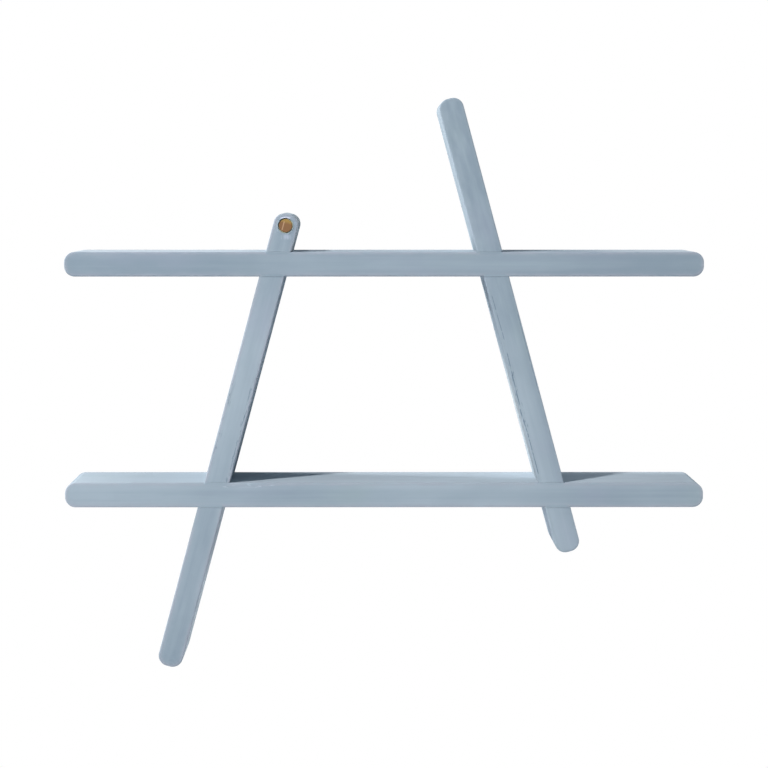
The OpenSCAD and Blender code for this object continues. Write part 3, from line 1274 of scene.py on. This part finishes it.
@dataclass
class BrassStud:
    """The domed stud in its round sinking on the left upright."""

    centre: Vector
    lean: float
    head_radius: float = 5.4 * MM
    rim: float = 0.9 * MM
    rim_round: float = 0.35 * MM
    rim_bevel: float = 0.2 * MM
    dome: float = 0.5 * MM
    shank_radius: float = 2 * MM
    shank_length: float = 16 * MM
    clearance: float = 0.05 * MM
    sink_depth: float = 1 * MM
    ring: float = 0.8 * MM
    lip_width: float = 1.5 * MM
    lip_height: float = 0.2 * MM
    lip_foot: float = 0.3 * MM
    lip_round: float = 0.3 * MM
    overrun: float = 0.1 * MM
    steps: int = 96
    rim_steps: int = 5
    dome_steps: int = 10
    lip_steps: int = 12

    @property
    def sink_radius(self) -> float:
        """Radius of the round sinking."""
        return self.head_radius + self.ring

    def _placed(self, name: str, profile: list[Pair]) -> bpy.types.Object:
        """Turns a solid whose height points out of the upright's front edge at the stud.

        Args:
            name: Its name.
            profile: Its profile, with the height above the front edge.

        Returns:
            The solid.
        """
        mesh = turned(name, profile, self.steps)
        mesh.transform(Matrix.Translation(self.centre) @ Matrix.Rotation(QUARTER_TURN, 4, "X"))
        return linked(name, mesh)

    def build(self) -> bpy.types.Object:
        """Makes the stud: a shank, a rim with a soft edge and a domed face.

        Returns:
            The stud.
        """
        sphere = (self.head_radius**2 + self.dome**2) / (2 * self.dome)
        start = math.degrees(math.asin((self.head_radius - self.rim_round) / sphere))
        floor = -self.sink_depth
        foot = floor - self.shank_length
        centre = (0.0, self.rim + floor + self.dome - sphere)
        dome = arc(centre, sphere, 90 - start, 90, self.dome_steps)
        corner = (self.head_radius - self.rim_round, dome[0][1] - self.rim_round)
        profile = [(0.0, foot), (self.shank_radius, foot), (self.shank_radius, floor)]
        profile += [(self.head_radius - self.rim_bevel, floor), (self.head_radius, self.rim_bevel + floor)]
        profile += arc(corner, self.rim_round, 0, 90 - start, self.rim_steps)[:-1]
        stud = self._placed("domed_brass_stud", profile + dome[:-1] + [(0.0, dome[-1][1])])
        stud.data.materials.append(AgedBrass().material("aged_brass", tuple(self.centre), self.lean))
        return stud

    def sink(self, upright: bpy.types.Object) -> None:
        """Gives the upright a soft raised lip of paint, the sinking inside it and the shank's hole.

        Args:
            upright: The left upright.
        """
        outer = self.sink_radius + self.lip_width
        swell = []
        for step in range(self.lip_steps + 1):
            share = step / self.lip_steps
            rise = math.sin(math.pi * share) ** 2
            height = self.lip_height * rise - self.lip_foot * (1 - rise)
            swell.append((outer - 2 * share * self.lip_width, height))
        buried = -2 * self.lip_foot
        bead = [(0.0, buried), (outer, buried), *swell, (0.0, -self.lip_foot)]
        centre = (self.sink_radius + self.lip_round, -self.lip_round)
        lip = arc(centre, self.lip_round, 180, 90, self.lip_steps // 2)
        above = self.lip_height + self.overrun
        sinking = [(0.0, -self.sink_depth), (self.sink_radius, -self.sink_depth)]
        sinking += [(r, h + self.lip_height) for r, h in lip] + [(lip[-1][0], above), (0.0, above)]
        end = -self.sink_depth - self.shank_length - self.overrun
        bore = self.shank_radius + self.clearance
        hole = [(0.0, end), (bore, end), (bore, 0.0), (0.0, 0.0)]
        carved(upright, self._placed("lip", bead), "UNION")
        carved(upright, self._placed("sinking", sinking), "DIFFERENCE")
        carved(upright, self._placed("shank_hole", hole), "DIFFERENCE")


class StampedPlate(ShapeTree):
    """A round-ended steel plate with a keyhole and two countersunk holes, its back at y = 0."""

    NUMBERS = ("Length", "Height", "Thickness", "Edge", "Hole", "Slot Width", "Slot Rise")
    NUMBERS += ("Screw Spacing", "Head", "Shank")
    OVERRUN = 0.5 * MM
    ROUND_STEPS = 48

    def __init__(self, bar: EasedBar) -> None:
        """Builds the tree.

        Args:
            bar: The tree that makes an eased bar.
        """
        super().__init__("Stamped plate", self.NUMBERS, Place="Vector", Finish="Material")
        self._bar = bar
        rise, width = [self.given(name) for name in ("Slot Rise", "Slot Width")]
        hole, head, shank = [self.given(name) / 2 for name in ("Hole", "Head", "Shank")]
        through = self.given("Thickness") + 2 * self.OVERRUN
        slot = self._round_ended(rise + width, width, self.OVERRUN)
        cutters = [self.moved(slot, turn=QUARTER_TURN)]
        cutters.append(self.moved(self._drill(hole, hole, through), self.join(0, self.OVERRUN, 0 - rise / 2)))
        for end in Side:
            x = self.given("Screw Spacing") * (end.value / 2)
            cutters.append(self.moved(self._drill(shank, shank, through), self.join(x, self.OVERRUN, 0)))
            cutters.append(self.moved(self._drill(head, shank, head - shank), self.join(x, HAIR, 0)))
        easing = {"Edge Radius": self.given("Edge")}
        blank = self._round_ended(self.given("Length"), self.given("Height"), 0.0, easing)
        self.dress(self.shade(self.moved(self.cut(blank, *cutters), self.given("Place"))))

    def _round_ended(
        self, length: Value, height: Value, overrun: float, easing: Mapping[str, Value] | None = None
    ) -> Wire:
        """Makes a plate-thick bar with full-round ends.

        Args:
            length: Its length.
            height: Its height.
            overrun: How far it runs past both faces.
            easing: Sizes of its eased edges, if it has any.

        Returns:
            The closed bar, its back at y = overrun.
        """
        sizes = self._bar.plain(length, height, self.given("Thickness") + 2 * overrun) | (easing or {})
        bar = self.add("GeometryNodeGroup", sizes, node_tree=self._bar.tree)
        return self.moved(bar, (0, overrun, 0))

    def _drill(self, back: Value, front: Value, depth: Value) -> Wire:
        """Makes a cone or cylinder from y = 0 forwards.

        Args:
            back: Its radius at the back.
            front: Its radius at the front.
            depth: Its depth.

        Returns:
            The solid.
        """
        inputs = {"Vertices": self.ROUND_STEPS, "Radius Bottom": back, "Radius Top": front, "Depth": depth}
        cone = self.add("GeometryNodeMeshCone", inputs)
        return self.add("GeometryNodeTransform", {"Geometry": cone, "Rotation": (QUARTER_TURN, 0, 0)})


class ScrewRows(ShapeTree):
    """One screw set on every screw hole of both plates, each turned by its own angle."""

    SEED = 4
    COUNT = 4

    def __init__(self) -> None:
        """Builds the tree."""
        numbers = ("Plate Distance", "Screw Spacing")
        super().__init__("Screw rows", numbers, Screw="Object", Finish="Material")
        index = self.add("GeometryNodeInputIndex")
        plate_side = self.math("FLOOR", index / 2) * 2 - 1
        screw_side = (index % 2) * 2 - 1
        x = plate_side * self.given("Plate Distance") + screw_side * (self.given("Screw Spacing") / 2)
        points = self.add("GeometryNodePoints", {"Count": self.COUNT, "Position": self.join(x, 0, 0)})
        inputs = {2: 0.0, 3: QUARTER_TURN, "Seed": self.SEED}
        angle = self.add("FunctionNodeRandomValue", inputs, 1, data_type="FLOAT")
        screw = self.add("GeometryNodeObjectInfo", {"Object": self.given("Screw")}, "Geometry")
        inputs = {"Points": points, "Instance": screw, "Rotation": self.join(0, angle, 0)}
        self.dress(self.add("GeometryNodeInstanceOnPoints", inputs))


@dataclass
class Hanging:
    """The two keyhole plates with their screws, let into the back of the upper shelf."""

    keyhole_x: float = 180 * MM
    length: float = 40 * MM
    height: float = 16 * MM
    thickness: float = 1.5 * MM
    edge: float = 0.2 * MM
    hole: float = 8 * MM
    slot_width: float = 4 * MM
    slot_rise: float = 4.5 * MM
    pocket_depth: float = 9 * MM
    pocket_clearance: float = 0.4 * MM
    screw_spacing: float = 27 * MM
    head: float = 5.6 * MM
    shank: float = 3 * MM
    screw_length: float = 14 * MM
    screw_point: float = 3 * MM
    head_bevel: float = 0.15 * MM
    recess_arm: float = 3.2 * MM
    recess_width: float = 0.64 * MM
    recess_depth: float = 1.1 * MM
    recess_rise: float = 0.2 * MM
    recess_taper: float = 0.55
    clearance: float = 0.05 * MM
    overrun: float = 1 * MM
    screw_steps: int = 48
    hole_steps: int = 24
    finish: ZincPlate = field(default_factory=ZincPlate)

    def build(self, bar: EasedBar) -> dict[str, bpy.types.Object]:
        """Makes both plates and the four screws.

        Args:
            bar: The tree that makes an eased bar.

        Returns:
            The pieces by the CAD node that each stands for.
        """
        steel = self.finish.material("zinc_plate")
        tree = StampedPlate(bar)
        sizes = {name: getattr(self, name.lower().replace(" ", "_")) for name in tree.NUMBERS}
        sizes |= {"Head": self.head + 2 * self.clearance, "Shank": self.shank + 2 * self.clearance}
        made = {}
        for side in Side:
            node = f"{side.name.lower()}_keyhole_plate"
            place = (side.value * self.keyhole_x, 0.0, 0.0)
            made[node] = grown(f"stamped_{node}", tree, sizes | {"Place": place, "Finish": steel})
        screw = self._screw()
        sizes |= {"Screw": screw, "Plate Distance": self.keyhole_x, "Finish": steel}
        made["plate_screws"] = grown("countersunk_screws", ScrewRows(), sizes)
        bpy.data.objects.remove(screw)
        return made

    def _screw(self) -> bpy.types.Object:
        """Makes one countersunk screw with a cross recess, its head flat at y = 0 facing the wall.

        Returns:
            The screw.
        """
        head = self.head / 2
        core = self.shank / 2
        profile = [(0.0, -self.screw_length), (core, self.screw_point - self.screw_length)]
        profile += [(core, core - head), (head, -self.head_bevel / 2), (head - self.head_bevel, 0.0)]
        screw = linked("screw", turned("screw", profile + [(0.0, 0.0)], self.screw_steps))
        for turn in (0.0, QUARTER_TURN):
            carved(screw, self._blade(turn), "DIFFERENCE")
        screw.data.transform(Matrix.Rotation(-QUARTER_TURN, 4, "X"))
        return screw

    def _blade(self, turn: float) -> bpy.types.Object:
        """Makes one tapering arm pair of the cross recess, pointing down from the head's flat.

        Args:
            turn: Its turn about the screw.

        Returns:
            The blade.
        """
        shape = bmesh.new()
        bmesh.ops.create_cube(shape, size=1.0)
        for vert in shape.verts:
            top = vert.co.z > 0
            share, level = (1.0, self.recess_rise) if top else (self.recess_taper, -self.recess_depth)
            vert.co = (vert.co.x * self.recess_arm * share, vert.co.y * self.recess_width * share, level)
        bmesh.ops.rotate(shape, verts=shape.verts, matrix=Matrix.Rotation(turn, 3, "Z"))
        return linked("blade", meshed("blade", shape))

    def seat(self, shelf: bpy.types.Object, bar: EasedBar) -> None:
        """Cuts the recess, the pocket and the screw holes of both plates into the upper shelf.

        Args:
            shelf: The upper shelf.
            bar: The tree that makes an eased bar.
        """
        gap = 2 * self.clearance
        pocket = self.hole + 2 * self.pocket_clearance
        core = self.shank / 2 + self.clearance
        bore = [(0.0, -self.screw_length), (core, -self.screw_length), (core, 0.0), (0.0, 0.0)]
        recess = (self.length + gap, self.height + gap, self.thickness, 0.0)
        track = (self.slot_rise + pocket, pocket, self.thickness + self.pocket_depth, QUARTER_TURN)
        for side in Side:
            x = side.value * self.keyhole_x
            for length, height, depth, turn in (recess, track):
                cutter = grown("cutter", bar, bar.plain(length, height, depth + self.overrun))
                place = Matrix.Translation((x, self.overrun, 0))
                cutter.data.transform(place @ Matrix.Rotation(turn, 4, "Y"))
                carved(shelf, cutter, "DIFFERENCE")
            for end in Side:
                cutter = linked("cutter", turned("cutter", bore, self.hole_steps))
                place = Matrix.Translation((x + end.value * self.screw_spacing / 2, 0, 0))
                cutter.data.transform(place @ Matrix.Rotation(-QUARTER_TURN, 4, "X"))
                carved(shelf, cutter, "DIFFERENCE")


@dataclass(frozen=True)
class Lamp:
    """A soft square lamp, aimed at the shelf."""

    name: str
    towards: Point
    distance: float
    size: float
    share: float

    def hang(self, aim: Vector) -> None:
        """Makes the lamp.

        Args:
            aim: The point that it is aimed at.
        """
        light = bpy.data.lights.new(self.name, "AREA")
        light.shape = "SQUARE"
        light.size = self.size
        light.energy = self.share * (math.pi * self.distance) ** 2
        direction = Vector(self.towards).normalized()
        lamp = linked(self.name, light)
        lamp.location = aim + direction * self.distance
        lamp.rotation_euler = direction.to_track_quat("Z", "Y").to_euler()
        lamp.visible_camera = False
        lamp.visible_glossy = False


@dataclass
class Studio:
    """Surroundings, lamps, floor and camera."""

    focal_pixels: float = 3760.8
    frame_pixels: float = 768.0
    sensor_width: float = 36.0
    camera_place: Point = (-0.0158, -3.1756, 0.0589)
    pitch: float = -0.0511
    yaw: float = 0.00513
    aim: Point = (0.0, -0.06, -0.1)
    ambient: float = 0.11
    ambient_tint: Colour = srgb(180, 222, 255)
    white: Colour = srgb(255, 255, 255)
    floor_level: float = -1.3
    floor_size: float = 5.0
    floor_steps: int = 8
    lamps: tuple[Lamp, ...] = (
        Lamp("key", (-0.9, -1.36, 1.0), 4.0, 0.3, 1.07),
        Lamp("side", (-1.0, 0.3, 0.22), 2.2, 0.2, 0.75),
        Lamp("overhead", (-0.3, 0.1, 1.0), 3.0, 0.8, 0.24),
        Lamp("high_right", (1.0, -0.1, 1.2), 3.0, 0.8, 0.12),
        Lamp("right", (1.0, 0.0, 0.0), 2.5, 0.3, 0.36),
        Lamp("low_right", (1.0, -0.1, -0.6), 2.5, 0.5, 0.35),
        Lamp("behind", (-0.3, 1.0, -0.25), 2.5, 0.5, 0.6),
    )

    def build(self) -> None:
        """Sets up the whole studio."""
        scene = bpy.context.scene
        scene.view_settings.view_transform = "Standard"
        self._surround(scene)
        for lamp in self.lamps:
            lamp.hang(Vector(self.aim))
        self._floor()
        scene.camera = self._camera()

    def _surround(self, scene: bpy.types.Scene) -> None:
        """Makes the surroundings white to the camera and in reflections, with little light from them.

        Args:
            scene: The scene.
        """
        scene.world = bpy.data.worlds.new("surroundings")
        scene.world.use_nodes = True
        scene.world.node_tree.nodes.clear()
        graph = Graph(scene.world.node_tree)
        inputs = {"Color": self.ambient_tint, "Strength": self.ambient}
        soft = graph.add("ShaderNodeBackground", inputs)
        full = graph.add("ShaderNodeBackground", {"Color": self.white, "Strength": 1.0})
        mixed = graph.add("ShaderNodeMixShader", {0: graph.background(), 1: soft, 2: full})
        graph.add("ShaderNodeOutputWorld", {"Surface": mixed})

    def _floor(self) -> None:
        """Lays a plain pale floor, as far below the shelf as it hangs above one."""
        shape = bmesh.new()
        steps = self.floor_steps
        bmesh.ops.create_grid(shape, x_segments=steps, y_segments=steps, size=self.floor_size / 2)
        bmesh.ops.translate(shape, verts=shape.verts, vec=(0, 0, self.floor_level))
        floor = linked("floor", meshed("floor", shape))
        floor.data.materials.append(PalePaper().material("pale_paper"))

    def _camera(self) -> bpy.types.Object:
        """Sets up the camera at the photograph's viewing angle.

        Returns:
            The camera.
        """
        data = bpy.data.cameras.new("camera")
        data.sensor_width = self.sensor_width
        data.lens = self.focal_pixels * self.sensor_width / self.frame_pixels
        camera = linked("camera", data)
        camera.location = self.camera_place
        camera.rotation_euler = (QUARTER_TURN + self.pitch, 0, -self.yaw)
        return camera


def main() -> None:
    """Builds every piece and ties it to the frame."""
    logging.basicConfig(level=logging.INFO, format="%(name)s: %(message)s")
    joinery = Joinery()
    stud_inset = 9.5 * MM
    centre = joinery.on_axis(Side.LEFT, joinery.left_reaches[0] - stud_inset)
    centre.y = -joinery.stock.depth
    stud = BrassStud(centre, joinery.lean)
    bar = EasedBar()
    hanging = Hanging()
    boards = joinery.build(bar, stud)
    stud.sink(boards["left_upright"])
    hanging.seat(boards["upper_shelf"], bar)
    for node, board in boards.items():
        dressed(board, node)
    dressed(stud.build(), "brass_stud")
    for node, piece in hanging.build(bar).items():
        dressed(piece, node)
    Studio().build()


if __name__ == "__main__":
    main()
